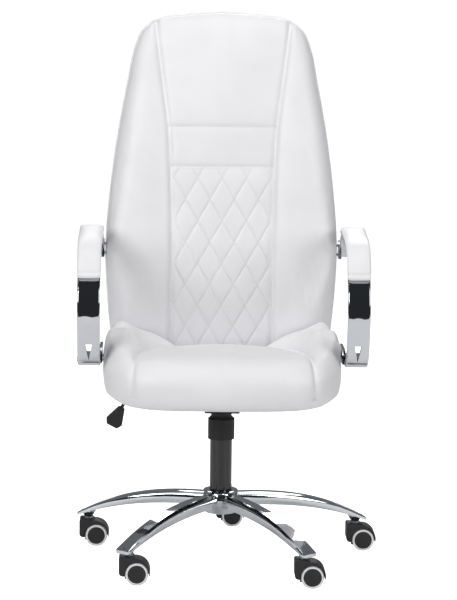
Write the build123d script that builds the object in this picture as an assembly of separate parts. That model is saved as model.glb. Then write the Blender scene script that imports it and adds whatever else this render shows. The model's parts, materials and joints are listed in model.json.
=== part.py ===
# Executive swivel chair: five-star base on twin-wheel casters, gas lift column,
# tilt mechanism, padded seat, high quilted back and two loop arms.
# Units are millimetres. Z is up, X runs across the chair, -Y is the front.
# The origin is on the floor, on the column's axis.

from build123d import *
from math import cos, radians, sin, tan
import os

# ---------------------------------------------------------------- driving sizes

# Five-star base
leg_count = 5
base_turn = -3.0               # degrees, how far the whole star is turned about Z
stem_circle = 324.0            # radius of the circle of caster stems
hub_radius = 36.0
hub_height = 52.0
hub_crown = 7.0                # how far the hub stands above the legs
hub_flange = 3.0               # how far the top rim stands out
leg_width_hub = 33.0
leg_width_tip = 40.0
leg_tip_reach = 23.0           # how far a leg runs on past its caster stem
leg_tip_corner = 9.0
leg_wall = 3.5
leg_rise = 61.0                # from the top face over the caster stem up to the hub
leg_depth_hub = 29.0
leg_depth_tip = 11.0
leg_arch = 2.7                 # how late the leg bends down
leg_crease = 6.5               # flat facets along both upper edges
boss_radius = 8.5
boss_root_radius = 17.0
boss_height = 23.0             # from the boss's lower end to the leg's top face
caster_headroom = 16.0         # between the wheel's top and the boss's lower end

# Twin-wheel casters
wheel_radius = 25.0
tread_thickness = 5.0
wheel_outer_face = 23.6        # distance of the hub disc's face from the caster's middle
wheel_inner_face = 9.6
disc_dome = 1.2
disc_thickness = 6.0
caster_trail = 18.4
axle_radius = 3.5
stem_radius = 5.5
stem_pin_radius = 5.0
stem_flange_radius = 9.0
stem_flange_height = 3.4
stem_grip_length = 18.0
hood_gap = 1.6                 # between the tread and the inside of the hood
hood_wall = 4.9                # where the hood is thickest, over the wheel
hood_shift = 2.5               # the hood's outer curve sits this far up and forward
hood_width = 47.0
hood_web = 6.0
hood_boss_radius = 8.2
hood_boss_depth = 14.0         # below the wheel's axis
hood_boss_floor = 6.0          # under the stem's pin
hood_nose = 7.5                # how far the front wall stands ahead of the hood's curve
hood_front_bottom = 20.5
hood_neck_length = 34.0
hood_corner = 4.0
hood_chin = 9.0
hood_tail_drop = 3.0

# Gas lift
tube_diameter = 50.0
tube_wall = 2.0
tube_top = 279.0
tube_taper_length = 52.0
tube_taper_drop = 3.0          # how much the taper narrows, on the diameter
tube_floor = 3.0
bush_length = 80.0
cylinder_diameter = 28.0
cylinder_wall = 2.0
socket_wall = 4.0
cylinder_bottom = 130.0
cylinder_top = 359.0
cylinder_cap = 10.0
rod_diameter = 10.0
rod_shoulder_radius = 9.0
rod_shoulder_height = 3.0
piston_height = 12.0
piston_reach = 90.0            # rod left inside the cylinder at full lift
bearing_radius = 16.0
bearing_height = 6.0
lift_travel = 75.0
pin_radius = 4.0
pin_length = 14.0
pin_travel = 3.9
pin_gap = 0.5                  # between the resting lever and the pin
running_clearance = 0.05       # radial, for every turning or sliding fit

# Telescopic column covers
collar_grip_wall = 5.0         # outside the tube
collar_wall = 3.5
collar_socket = 5.0            # length that grips the tube
collar_shelf = 2.0
collar_top = 321.0
middle_wall = 2.0
middle_height = 43.0
sleeve_wall = 2.25
cover_gap = 0.5                # between the nested covers, radial and below

# Tilt mechanism
housing_bottom = 345.0
housing_front = -82.0
housing_rear = 74.0
housing_width = 78.0
housing_wall = 3.0
housing_height = 45.0
housing_rear_height = 27.0
housing_slope_start = -22.0
tilt_pivot_y = -50.0
tilt_pivot_z = 376.0
pivot_pin_radius = 5.0
ear_gap = 2.0
ear_wall = 3.0
ear_radius = 13.0
plate_width = 186.0
plate_front = -112.0
plate_rear = 112.0
plate_thickness = 3.0
plate_corner = 14.0
spring_y = 52.0
spring_radius = 12.0           # to the middle of the wire
spring_wire = 3.6
spring_turns = 6
spring_seat_height = 4.0
spring_gap = 0.4
screw_radius = 5.0
screw_bottom = 331.0
knob_radius = 24.0
knob_height = 12.0
knob_floor = 2.0
knob_grips = 12
knob_grip_radius = 3.0

# Lever
lever_z = 370.0
lever_rod_radius = 4.0
lever_reach = 210.5            # where the rod bends down
lever_inner_end = 10.0
lever_slope = 62.0             # degrees below level
lever_tail = 50.0
lever_bend_radius = 14.0
paddle_length = 49.0
paddle_shoulder = 37.0         # how far down its length the paddle is widest
paddle_width_root = 15.0
paddle_width_tip = 40.0
paddle_width_end = 26.0
paddle_thickness = 13.0
paddle_corner = 4.0
paddle_edge_round = 3.0
paddle_socket = 20.0
lever_side_gap = 0.3           # between the rod and the cheeks beside it
lever_slot_gap = 0.6           # over the rod, in the tongue
fulcrum_radius = 2.0
fulcrum_x = -37.5
cheek_plate = 3.0              # the tongue's cheeks that hold the fulcrum
cheek_plate_height = 10.0
cheek_plate_reach = 5.0        # outside the fulcrum
window_gap = 0.4               # around the cheeks, in the housing's side
tongue_length = 6.0
tongue_width = 24.0
tongue_thickness = 16.0
tongue_middle_x = -23.5

# Seat
seat_underside = 405.0
seat_board_thickness = 12.0
seat_half_width = 267.0
seat_front = -262.0
seat_rear = 142.0
seat_corner_half_width = 208.0
seat_crest = 489.0
seat_rear_height = 466.0
seat_lip_bottom = 376.0
seat_board_inset = 42.0
cheek_thickness = 12.0
cheek_inset = 9.0
cheek_front = -75.0
cheek_rear = 75.0
cheek_top = 478.0
bolster_rise = 528.0
bolster_width = 74.0

# Back
back_bottom = 440.0
back_top = 1228.0
back_top_half = 160.0
back_top_corner = 1206.0
back_corner_half = 189.0
back_corner_z = 1181.0
back_half_bottom = 252.0
back_half_widest = 269.0
back_widest_z = 680.0
back_half_middle = 241.0
back_middle_z = 956.0
back_half_shoulder = 203.0
back_shoulder_z = 1149.0
back_front_y = 154.0           # front face at the bottom
back_lumbar_y = 138.0
back_lumbar_z = 625.0
back_middle_y = 182.0
back_top_y = 262.0
back_rear_y = 232.0            # rear face at the bottom
back_rear_middle_y = 263.0
back_rear_top_y = 316.0
rear_panel_thickness = 20.0
back_board_thickness = 10.0
back_board_inset = 26.0
back_cheek_bottom = 640.0
back_cheek_top = 728.0
back_cheek_depth = 40.0

# Arms
arm_gap = 2.0                  # between the wider of seat and back and the band
arm_band_width = 50.0
arm_band_thickness = 12.0
arm_band_wall = 2.0
arm_rear_y = 206.0
arm_rear_z = 670.0
arm_crown_y = 95.0
arm_crown_z = 732.0
arm_brow_y = -95.0
arm_brow_z = 711.0
arm_nose_y = -160.0
arm_nose_z = 600.0
arm_heel_y = -128.0
arm_foot_z = 457.0
arm_foot_y = 52.0
arm_crown_bend = 90.0
arm_brow_bend = 80.0
arm_nose_bend = 125.0
arm_heel_bend = 66.0
arm_edge_round = 3.0
arm_pad_overhang = 6.0         # on each side of the band
arm_pad_thickness = 14.0
arm_pad_rear_y = 124.0
arm_pad_front_z = 645.0
arm_pad_round = 6.5
arm_slot_width = 15.0
arm_slot_top = 508.0
arm_slot_bottom = 470.0
bracket_gap = 1.5              # between an arm's bracket and the upholstery
foot_plate_height = 34.0
rear_plate_height = 40.0
rear_plate_length = 34.0

# Bolts
bolt_radius = 4.0
bolt_head_radius = 6.5
bolt_head_height = 4.5
foot_bolt_places = (-28.0, 28.0)
rear_bolt_places = (-11.0, 11.0)
plate_bolt_x = 72.0
plate_bolt_y = 88.0

# ------------------------------------------------------------- values worked out

wheel_z = wheel_radius
boss_bottom = 2 * wheel_radius + caster_headroom
leg_top_tip = boss_bottom + boss_height
leg_top_hub = leg_top_tip + leg_rise
hub_top = leg_top_hub + hub_crown
hub_bottom = hub_top - hub_height
hub_disc_radius = wheel_radius - tread_thickness
hood_inner_radius = wheel_radius + hood_gap
hood_outer_radius = hood_inner_radius + hood_wall
hood_front = hood_outer_radius + hood_nose
stem_flange_bottom = boss_bottom - stem_flange_height
hood_boss_top = stem_flange_bottom - 0.3
stem_grip_top = boss_bottom + stem_grip_length
tube_bottom = hub_bottom + 2.0
tube_bore = tube_diameter - 2 * tube_wall
socket_radius = cylinder_diameter / 2 + socket_wall
collar_radius = tube_diameter / 2 + collar_grip_wall
collar_bore_radius = collar_radius - collar_wall
middle_radius = collar_bore_radius - cover_gap
sleeve_radius = middle_radius - middle_wall - 1.5 * cover_gap
sleeve_bore_radius = sleeve_radius - sleeve_wall
bearing_bottom = tube_bottom + tube_floor
rod_shoulder_bottom = bearing_bottom + bearing_height
housing_top = housing_bottom + housing_height
plate_bottom = seat_underside - plate_thickness
board_top = seat_underside + seat_board_thickness
ear_inner = housing_width / 2 + ear_gap
ear_outer = ear_inner + ear_wall
arm_inner = max(seat_half_width, back_half_widest) + arm_gap
arm_middle_x = arm_inner + arm_band_width / 2
arm_pad_width = arm_band_width + 2 * arm_pad_overhang
tongue_half = lever_rod_radius + lever_side_gap + cheek_plate
pin_top = lever_z - lever_rod_radius - pin_gap
piston_top = cylinder_bottom + lift_travel + piston_reach
spring_bottom = housing_bottom + housing_wall + spring_seat_height + spring_gap

parts = {}


def yz_block(outline, x_low, x_high):
    """A prism along X from an outline given as (y, z)."""
    return extrude(Plane.YZ.offset(x_low) * outline, x_high - x_low)


def tube_solid(radius, bore, low, high, at=(0.0, 0.0)):
    """A plain upright tube, or a solid rod where the bore is 0."""
    outline = Circle(radius)
    if bore > 0:
        outline -= Circle(bore)
    return extrude(Plane.XY.offset(low) * Pos(*at) * outline, high - low)


def cross_rod(radius, x_low, x_high, y, z):
    """A round rod along X."""
    return extrude(Plane.YZ.offset(x_low) * Pos(y, z) * Circle(radius), x_high - x_low)


def turned(points):
    """A solid of revolution about Z from (radius, height) corners."""
    outline = make_face(Plane.XZ * Polyline(*points, close=True))
    return revolve(outline, Axis.Z)


def star_place(index):
    """Turns a piece modelled along +X to the place of one leg."""
    return Rot(0, 0, 90 + base_turn + index * 360 / leg_count)


def stem_position(index):
    angle = radians(90 + base_turn + index * 360 / leg_count)
    return stem_circle * cos(angle), stem_circle * sin(angle)


# -------------------------------------------------------------------- star base

def leg_section(reach, width, top, depth, crease):
    """Cross-section of a leg at one radius, with flat facets along its upper edges."""
    half = width / 2
    outline = Polyline(
        (-half, top - depth),
        (half, top - depth),
        (half, top - crease),
        (half - crease, top),
        (crease - half, top),
        (-half, top - crease),
        close=True,
    )
    return Plane.YZ.offset(reach) * make_face(outline)


def leg_body(start, end, side_wall, top_wall, depth_extra):
    """An arched, tapering leg along +X, moved in by its walls."""
    sections = []
    stations = 7
    for step in range(stations + 1):
        reach = start + (end - start) * step / stations
        share = reach / stem_circle
        width = leg_width_hub + (leg_width_tip - leg_width_hub) * share
        top = leg_top_hub - (leg_top_hub - leg_top_tip) * share ** leg_arch
        depth = leg_depth_hub - (leg_depth_hub - leg_depth_tip) * share ** leg_arch
        crease = min(leg_crease, depth / 2) * (1 - 0.3 * share)
        sections.append(leg_section(
            reach, width - 2 * side_wall, top - top_wall, depth - top_wall + depth_extra, crease
        ))
    return loft(sections)


def one_leg():
    tip = stem_circle + leg_tip_reach
    body = leg_body(20.0, tip + 5.0, 0, 0, 0)
    plan = Pos(tip / 2, 0) * RectangleRounded(tip, leg_width_tip + 2, leg_tip_corner)
    body &= extrude(plan, leg_top_hub + 20)
    hollow_end = stem_circle - boss_root_radius - leg_wall
    body -= leg_body(hub_radius + leg_wall, hollow_end, leg_wall, leg_wall, 2 * leg_depth_hub)
    under = leg_top_tip - leg_depth_tip
    boss = turned([
        (0, boss_bottom),
        (boss_radius, boss_bottom),
        (boss_root_radius, under + 1),
        (boss_root_radius, under + 3),
        (0, under + 3),
    ])
    body += Pos(stem_circle, 0) * boss
    body -= tube_solid(stem_radius, 0, boss_bottom, stem_grip_top, (stem_circle, 0))
    return body


def taper_radius(height):
    """Radius of the gas lift's taper, straight above the taper."""
    into = min(max(hub_bottom + tube_taper_length - height, 0), tube_taper_length)
    return tube_diameter / 2 - tube_taper_drop / 2 * into / tube_taper_length


def build_star_base():
    hub = turned([
        (0, hub_bottom),
        (hub_radius - 2, hub_bottom),
        (hub_radius, hub_bottom + 2),
        (hub_radius, hub_top - 6),
        (hub_radius + hub_flange, hub_top - 4),
        (hub_radius + hub_flange, hub_top - 1),
        (hub_radius + hub_flange - 1, hub_top),
        (0, hub_top),
    ])
    star = hub
    leg = one_leg()
    for index in range(leg_count):
        star += star_place(index) * leg
    seat = turned([
        (0, hub_bottom - 1),
        (taper_radius(hub_bottom), hub_bottom - 1),
        (taper_radius(hub_bottom), hub_bottom),
        (taper_radius(hub_top), hub_top),
        (taper_radius(hub_top), hub_top + 1),
        (0, hub_top + 1),
    ])
    parts["star_base"] = star - seat


# ---------------------------------------------------------------------- casters

def hood_outline():
    """Side view of a caster hood about the wheel's axis, as (x, z)."""
    low = hood_front_bottom - wheel_z
    high = hood_boss_top - wheel_z
    neck_middle = -hood_front + hood_neck_length / 2
    neck = Pos(neck_middle, (high + low) / 2) * Rectangle(hood_neck_length, high - low)
    neck = fillet(neck.vertices().group_by(Axis.Y)[-1], hood_corner)
    neck = fillet(neck.vertices().group_by(Axis.Y)[0].sort_by(Axis.X)[0], hood_chin)
    curve = Pos(-hood_shift, hood_shift) * Circle(hood_outer_radius)
    reach = 2 * hood_outer_radius
    front = Pos(-reach / 2, reach / 2) * Rectangle(reach, reach)
    rear = Pos(reach / 2 - hood_shift, reach / 2 - hood_tail_drop) * Rectangle(reach, reach)
    return neck + (curve & (front + rear))


def build_caster(index):
    x, y = stem_position(index)
    wheel_at = Pos(x + caster_trail, y, wheel_z)
    upright = Plane.XZ

    rim = hood_outline() - Circle(hood_inner_radius)
    shell = extrude(upright.offset(-hood_width / 2) * rim, hood_width)
    web_shape = hood_outline() + Circle(axle_radius + 5.0)
    web = extrude(upright.offset(-hood_web / 2) * web_shape, hood_web)
    boss_at = (-caster_trail, 0)
    boss_high = hood_boss_top - wheel_z
    hood = shell + web + tube_solid(hood_boss_radius, 0, -hood_boss_depth, boss_high, boss_at)
    pin_bore = stem_pin_radius + running_clearance
    hood -= tube_solid(pin_bore, 0, hood_boss_floor - hood_boss_depth, boss_high + 1, boss_at)
    hood -= extrude(upright.offset(-hood_width / 2) * Circle(axle_radius), hood_width)
    parts[f"caster_{index + 1}_hood"] = wheel_at * hood

    axle_half = wheel_outer_face - 4.0
    axle = extrude(upright.offset(-axle_half) * Circle(axle_radius), 2 * axle_half)
    parts[f"caster_{index + 1}_axle"] = wheel_at * axle

    bore = axle_radius + running_clearance
    sleeve_inner = hood_web / 2 + 0.4
    core_half = [
        (bore, sleeve_inner),
        (axle_radius + 2.5, sleeve_inner),
        (axle_radius + 2.5, wheel_outer_face - disc_thickness),
        (hub_disc_radius - 3, wheel_outer_face - disc_thickness),
        (hub_disc_radius - 3, wheel_inner_face),
        (hub_disc_radius, wheel_inner_face),
        (hub_disc_radius, wheel_outer_face - disc_dome),
        (hub_disc_radius - 2, wheel_outer_face - disc_dome / 4),
        (0, wheel_outer_face),
        (0, axle_half + 0.5),
        (bore, axle_half + 0.5),
    ]
    tread_half = [
        (hub_disc_radius, wheel_inner_face),
        (wheel_radius - 1.5, wheel_inner_face),
        (wheel_radius, wheel_inner_face + 1.5),
        (wheel_radius, wheel_outer_face - disc_dome - 2),
        (wheel_radius - 2, wheel_outer_face - disc_dome),
        (hub_disc_radius, wheel_outer_face - disc_dome),
    ]
    for side, turn in (("left", 90), ("right", -90)):
        place = wheel_at * Rot(turn, 0, 0)
        parts[f"caster_{index + 1}_{side}_core"] = place * turned(core_half)
        parts[f"caster_{index + 1}_{side}_tread"] = place * turned(tread_half)


def build_caster_stems():
    stems = []
    pin_bottom = wheel_z - hood_boss_depth + hood_boss_floor + 0.3
    for index in range(leg_count):
        x, y = stem_position(index)
        stem = turned([
            (0, pin_bottom),
            (stem_pin_radius, pin_bottom),
            (stem_pin_radius, stem_flange_bottom),
            (stem_flange_radius, stem_flange_bottom),
            (stem_flange_radius, boss_bottom),
            (stem_radius, boss_bottom),
            (stem_radius, stem_grip_top),
            (0, stem_grip_top),
        ])
        stems.append(Pos(x, y, 0) * stem)
    parts["caster_stems"] = Compound(children=stems)


# --------------------------------------------------------------------- gas lift

def build_gas_lift():
    tube_radius = tube_diameter / 2
    outer = turned([
        (0, tube_bottom),
        (taper_radius(tube_bottom), tube_bottom),
        (taper_radius(hub_bottom + tube_taper_length), hub_bottom + tube_taper_length),
        (tube_radius, tube_top),
        (0, tube_top),
    ])
    inside_low = tube_bottom + tube_floor
    narrow = taper_radius(tube_bottom) - tube_wall
    inside = turned([
        (0, inside_low),
        (narrow, inside_low),
        (narrow, hub_bottom + tube_taper_length),
        (tube_bore / 2, hub_bottom + tube_taper_length + 6),
        (tube_bore / 2, tube_top + 1),
        (0, tube_top + 1),
    ])
    rod_bore = rod_diameter / 2 + running_clearance
    parts["gas_outer_tube"] = outer - inside - tube_solid(rod_bore, 0, tube_bottom - 1, inside_low + 1)

    cylinder_radius = cylinder_diameter / 2
    parts["gas_guide_bush"] = tube_solid(
        tube_bore / 2, cylinder_radius + running_clearance, tube_top - bush_length, tube_top
    )
    parts["gas_thrust_bearing"] = tube_solid(
        bearing_radius, rod_bore, bearing_bottom, bearing_bottom + bearing_height
    )

    bore = cylinder_radius - cylinder_wall
    cylinder = tube_solid(cylinder_radius, 0, cylinder_bottom, cylinder_top)
    cylinder -= tube_solid(bore, 0, cylinder_bottom + cylinder_cap, cylinder_top - 2 * cylinder_cap)
    cylinder -= tube_solid(rod_bore, 0, cylinder_bottom, cylinder_bottom + cylinder_cap)
    pin_bottom = pin_top - pin_length
    pin_bore = pin_radius + running_clearance
    cylinder -= tube_solid(pin_bore, 0, pin_bottom - pin_travel - 1, cylinder_top)
    parts["gas_inner_cylinder"] = cylinder
    pin = tube_solid(pin_radius, 0, pin_bottom, pin_top)
    parts["gas_release_pin"] = fillet(pin.edges().sort_by(Axis.Z)[-1:], pin_radius / 2)

    rod = tube_solid(rod_diameter / 2, 0, tube_bottom - 3, piston_top)
    shoulder_top = rod_shoulder_bottom + rod_shoulder_height
    rod += tube_solid(rod_shoulder_radius, 0, rod_shoulder_bottom, shoulder_top)
    rod += tube_solid(bore - running_clearance, 0, piston_top - piston_height, piston_top)
    parts["gas_piston_rod"] = rod


def build_covers():
    shelf = tube_top + collar_shelf
    collar = tube_solid(collar_radius, collar_bore_radius, shelf, collar_top)
    collar = fillet(collar.edges().filter_by(lambda edge: edge.center().Z > collar_top - 0.1), 1.0)
    collar += tube_solid(collar_radius, sleeve_bore_radius, tube_top, shelf)
    collar += tube_solid(collar_radius, tube_diameter / 2, tube_top - collar_socket, tube_top)
    parts["cover_collar"] = collar
    nest = shelf + cover_gap
    middle_bore_radius = middle_radius - middle_wall
    parts["cover_middle"] = tube_solid(middle_radius, middle_bore_radius, nest, nest + middle_height)
    sleeve_low = nest + cover_gap
    parts["cover_sleeve"] = tube_solid(sleeve_radius, sleeve_bore_radius, sleeve_low, housing_bottom)


# --------------------------------------------------------------- tilt mechanism

def housing_side(margin):
    """Side view of the pressed housing as (y, z), moved in by a margin."""
    low = housing_bottom + margin
    front = housing_front + margin
    rear = housing_rear - margin
    lift = 0 if margin == 0 else 2 * housing_wall
    return make_face(Polyline(
        (front, low),
        (rear, low),
        (rear, housing_bottom + housing_rear_height + lift),
        (housing_slope_start, housing_top + lift),
        (front, housing_top + lift),
        close=True,
    ))


def build_tilt_housing():
    half = housing_width / 2
    body = yz_block(housing_side(0), -half, half)
    body -= yz_block(housing_side(housing_wall), -half + housing_wall, half - housing_wall)
    body += tube_solid(socket_radius, 0, housing_bottom, cylinder_top)
    body -= tube_solid(cylinder_diameter / 2, 0, housing_bottom - 1, cylinder_top)
    window_width = 2 * (tongue_half + window_gap)
    window = Box(2 * housing_wall + 2, window_width, cheek_plate_height + 2 * window_gap)
    body -= Pos(-half, 0, lever_z) * window
    body -= cross_rod(pivot_pin_radius, -half - 1, half + 1, tilt_pivot_y, tilt_pivot_z)
    at = (0.0, spring_y)
    body -= tube_solid(screw_radius + running_clearance, 0, housing_bottom - 2, housing_top, at)
    parts["tilt_housing"] = body
    parts["tilt_pivot_pin"] = build_pivot_pin()


def build_pivot_pin():
    reach = ear_outer + 1.0
    pin = cross_rod(pivot_pin_radius, -reach, reach, tilt_pivot_y, tilt_pivot_z)
    for side in (-1, 1):
        low = min(side * reach, side * (reach + 3))
        pin += cross_rod(pivot_pin_radius + 3, low, low + 3, tilt_pivot_y, tilt_pivot_z)
    return pin


def build_seat_plate():
    plan = Pos(0, (plate_front + plate_rear) / 2) * RectangleRounded(
        plate_width, plate_rear - plate_front, plate_corner
    )
    plate = extrude(Plane.XY.offset(plate_bottom) * plan, plate_thickness)
    ear_shape = Pos(tilt_pivot_y, tilt_pivot_z) * Circle(ear_radius)
    rise = plate_bottom + 0.5 - tilt_pivot_z
    ear_shape += Pos(tilt_pivot_y, tilt_pivot_z + rise / 2) * Rectangle(2 * ear_radius, rise)
    ear_shape -= Pos(tilt_pivot_y, tilt_pivot_z) * Circle(pivot_pin_radius + running_clearance)
    for side in (-1, 1):
        low = min(side * ear_inner, side * ear_outer)
        plate += yz_block(ear_shape, low, low + ear_wall)
    for x in (-plate_bolt_x, plate_bolt_x):
        for y in (-plate_bolt_y, plate_bolt_y):
            plate -= tube_solid(bolt_radius, 0, plate_bottom - 1, seat_underside + 1, (x, y))
    parts["tilt_seat_plate"] = plate


def build_spring_and_tension():
    height = plate_bottom - spring_gap - spring_bottom - spring_wire
    pitch = height / spring_turns
    path = Helix(pitch=pitch, height=height, radius=spring_radius)
    wire = sweep(Plane(path @ 0, z_dir=path % 0) * Circle(spring_wire / 2), path)
    parts["tilt_spring"] = Pos(0, spring_y, spring_bottom + spring_wire / 2) * wire

    at = (0.0, spring_y)
    seat_high = spring_bottom - spring_gap
    seat_low = seat_high - spring_seat_height + 0.4
    screw = tube_solid(screw_radius, 0, screw_bottom + knob_floor, seat_high, at)
    screw += tube_solid(spring_radius + spring_wire / 2, 0, seat_low, seat_high, at)
    parts["tension_screw"] = screw

    grips = Circle(knob_radius)
    for step in range(knob_grips):
        angle = radians(step * 360 / knob_grips)
        grips -= Pos(knob_radius * cos(angle), knob_radius * sin(angle)) * Circle(knob_grip_radius)
    knob = extrude(Plane.XY.offset(screw_bottom) * Pos(*at) * grips, knob_height)
    knob -= tube_solid(screw_radius, 0, screw_bottom + knob_floor, screw_bottom + knob_height, at)
    parts["tension_knob"] = knob


# ------------------------------------------------------------------------ lever

def build_lever():
    slope = radians(lever_slope)
    bend = (-lever_reach, lever_z)
    tail = (bend[0] - lever_tail * cos(slope), lever_z - lever_tail * sin(slope))
    path = Plane.XZ * FilletPolyline((lever_inner_end, lever_z), bend, tail, radius=lever_bend_radius)
    start = Plane((lever_inner_end, 0, lever_z), x_dir=(0, 1, 0), z_dir=(-1, 0, 0))
    rod = sweep(start * Circle(lever_rod_radius), path)
    fulcrum = Plane.XZ.offset(-tongue_half) * Pos(fulcrum_x, lever_z) * Circle(fulcrum_radius)
    parts["lever_rod"] = rod + extrude(fulcrum, 2 * tongue_half)

    socket_start = lever_tail - paddle_socket
    root = (bend[0] - socket_start * cos(slope), lever_z - socket_start * sin(slope))
    down = (-cos(slope), 0, -sin(slope))
    widths = (
        (0, paddle_width_root),
        (paddle_shoulder, paddle_width_tip),
        (paddle_length, paddle_width_end),
    )
    upper = [(reach, width / 2) for reach, width in widths]
    lower = [(reach, -width / 2) for reach, width in reversed(widths)]
    outline = make_face(Polyline(*upper, *lower, close=True))
    outline = fillet(outline.vertices(), paddle_corner)
    flat = Plane((root[0], 0, root[1]), x_dir=down, z_dir=(0, 1, 0))
    paddle = extrude(flat * outline, paddle_thickness / 2, both=True)
    sides = paddle.faces().sort_by(Axis.Y)
    paddle = fillet(sides[0].edges() + sides[-1].edges(), paddle_edge_round)
    socket = Plane((root[0], 0, root[1]), x_dir=(0, 1, 0), z_dir=down)
    paddle -= extrude(socket * Circle(lever_rod_radius), paddle_socket)
    parts["lever_paddle"] = paddle

    parts["lock_tongue"] = lock_tongue()


def lock_tongue():
    """The sliding tongue that locks the tilt, with the cheeks that carry the lever's fulcrum."""
    tongue = Pos(tongue_middle_x, 0, lever_z) * Box(tongue_length, tongue_width, tongue_thickness)
    cheek_end = fulcrum_x - cheek_plate_reach
    cheek_length = tongue_middle_x - cheek_end
    for side in (-1, 1):
        middle = side * (tongue_half - cheek_plate / 2)
        cheek = Box(cheek_length, cheek_plate, cheek_plate_height)
        tongue += Pos(cheek_end + cheek_length / 2, middle, lever_z) * cheek
    bore = Plane.XZ.offset(-tongue_half - 1) * Pos(fulcrum_x, lever_z)
    tongue -= extrude(bore * Circle(fulcrum_radius + running_clearance), 2 * tongue_half + 2)
    slot_top = lever_rod_radius + lever_slot_gap
    slot = Box(2 * tongue_length, 2 * (lever_rod_radius + lever_side_gap), tongue_thickness)
    return tongue - Pos(tongue_middle_x, 0, lever_z + slot_top - tongue_thickness / 2) * slot


# ------------------------------------------------------------------------- seat

def seat_plan(margin):
    """Top view of the seat as a closed outline, moved in by a margin."""
    side = seat_half_width - margin
    front = seat_front + margin
    corner = seat_corner_half_width - margin
    rear = seat_rear - margin
    flank_y = seat_front * 0.34
    right = Spline(
        (0, front),
        (0.62 * corner, front + 6),
        (corner, front + 34),
        (side - 8, flank_y - 50),
        (side, flank_y + 20),
        tangents=((1, 0), (0, 1)),
    )
    flank = Line(right @ 1, (side, rear))
    half = right + flank + Line((side, rear), (0, rear)) + Line((0, rear), (0, front))
    half_face = make_face(half)
    return half_face + mirror(half_face, Plane.YZ)


def seat_side():
    """Side view of the seat cushion as (y, z)."""
    top = Spline(
        (seat_front, (seat_crest + seat_lip_bottom) / 2),
        (seat_front + 42, seat_crest - 3),
        (seat_front + 112, seat_crest),
        (seat_rear, seat_rear_height),
        tangents=((0, 1), (1, -0.1)),
    )
    lip = Spline(
        top @ 0,
        (seat_front + 12, seat_lip_bottom + 3),
        (seat_front + 34, seat_lip_bottom + 6),
        (seat_front + 62, seat_underside),
    )
    rest = Line(top @ 1, (seat_rear, seat_underside)) + Line((seat_rear, seat_underside), lip @ 1)
    return make_face(top + lip + rest)


def bolster_side():
    """Side view of the raised cushion beside the thigh and hip, as (y, z)."""
    crest = Spline(
        (seat_front + 92, seat_crest - 12),
        (seat_front + 190, seat_crest + 14),
        (seat_rear - 66, bolster_rise),
        (seat_rear - 4, bolster_rise - 22),
    )
    low = seat_underside + 30
    walls = Polyline(crest @ 0, (seat_front + 92, low), (seat_rear - 4, low), crest @ 1)
    return make_face(crest + walls)


def seat_board_solid():
    low = seat_underside
    board = extrude(Plane.XY.offset(low) * seat_plan(seat_board_inset), seat_board_thickness)
    cheek_outer = seat_half_width - cheek_inset
    for side in (-1, 1):
        post_x = side * (cheek_outer - cheek_thickness / 2)
        depth = cheek_rear - cheek_front
        middle_y = (cheek_rear + cheek_front) / 2
        foot_length = cheek_outer - (seat_half_width - seat_board_inset) + 20
        foot = Box(foot_length, depth, seat_board_thickness)
        foot_middle = side * (cheek_outer - foot_length / 2)
        board += Pos(foot_middle, middle_y, low + seat_board_thickness / 2) * foot
        post = Box(cheek_thickness, depth, cheek_top - low)
        board += Pos(post_x, middle_y, (cheek_top + low) / 2) * post
    return board


def build_seat():
    board = seat_board_solid()
    cushion = yz_block(seat_side(), -seat_half_width, seat_half_width)
    bolster = yz_block(bolster_side(), seat_half_width - bolster_width, seat_half_width)
    cushion += bolster
    cushion += mirror(bolster, Plane.YZ)
    cushion &= extrude(seat_plan(0), bolster_rise + 20)
    cushion -= board
    for side in (-1, 1):
        tip = seat_half_width - cheek_inset - cheek_thickness
        low = min(side * tip, side * (seat_half_width + 2))
        for y in foot_bolt_places:
            rod = cross_rod(bolt_radius, low, low + seat_half_width + 2 - tip, y, arm_foot_z)
            cushion -= rod
            board -= rod
    for x in (-plate_bolt_x, plate_bolt_x):
        for y in (-plate_bolt_y, plate_bolt_y):
            board -= tube_solid(bolt_radius, 0, seat_underside - 1, board_top - 2, (x, y))
    parts["seat_board"] = board
    parts["seat_cushion"] = cushion


# ------------------------------------------------------------------------- back

def back_front_line(shift):
    return Spline(
        (back_front_y + shift, back_bottom),
        (back_lumbar_y + shift, back_lumbar_z),
        (back_middle_y + shift, back_middle_z),
        (back_top_y + shift, back_top),
    )


def back_rear_line(shift):
    return Spline(
        (back_rear_y + shift, back_bottom),
        (back_rear_y + 4 + shift, back_widest_z),
        (back_rear_middle_y + shift, back_middle_z),
        (back_rear_top_y + shift, back_top),
    )


def between(first, second, half):
    """A curved slab along X between two (y, z) lines that share their heights."""
    ends = Line(first @ 0, second @ 0) + Line(first @ 1, second @ 1)
    return yz_block(make_face(first + second + ends), -half, half)


def back_outline(margin):
    """Front view of the back as (x, z), moved in by a margin."""
    right = Spline(
        (back_half_bottom - margin, back_bottom + margin),
        (back_half_widest - margin, back_widest_z),
        (back_half_middle - margin, back_middle_z),
        (back_half_shoulder - margin, back_shoulder_z),
    )
    corner = Spline(
        right @ 1,
        (back_corner_half - margin, back_corner_z - margin / 2),
        (back_top_half - margin, back_top_corner - margin),
        (back_top_half / 2 - margin, (back_top_corner + 3 * back_top) / 4 - margin),
        (0, back_top - margin),
        tangents=(right % 1, (-1, 0)),
    )
    closing = Line((0, back_top - margin), (0, back_bottom + margin))
    base_line = Line((0, back_bottom + margin), right @ 0)
    half_face = make_face(right + corner + closing + base_line)
    return half_face + mirror(half_face, Plane.YZ)


def back_prism(margin):
    return extrude(Plane.XZ.offset(-600) * back_outline(margin), 600)


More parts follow.
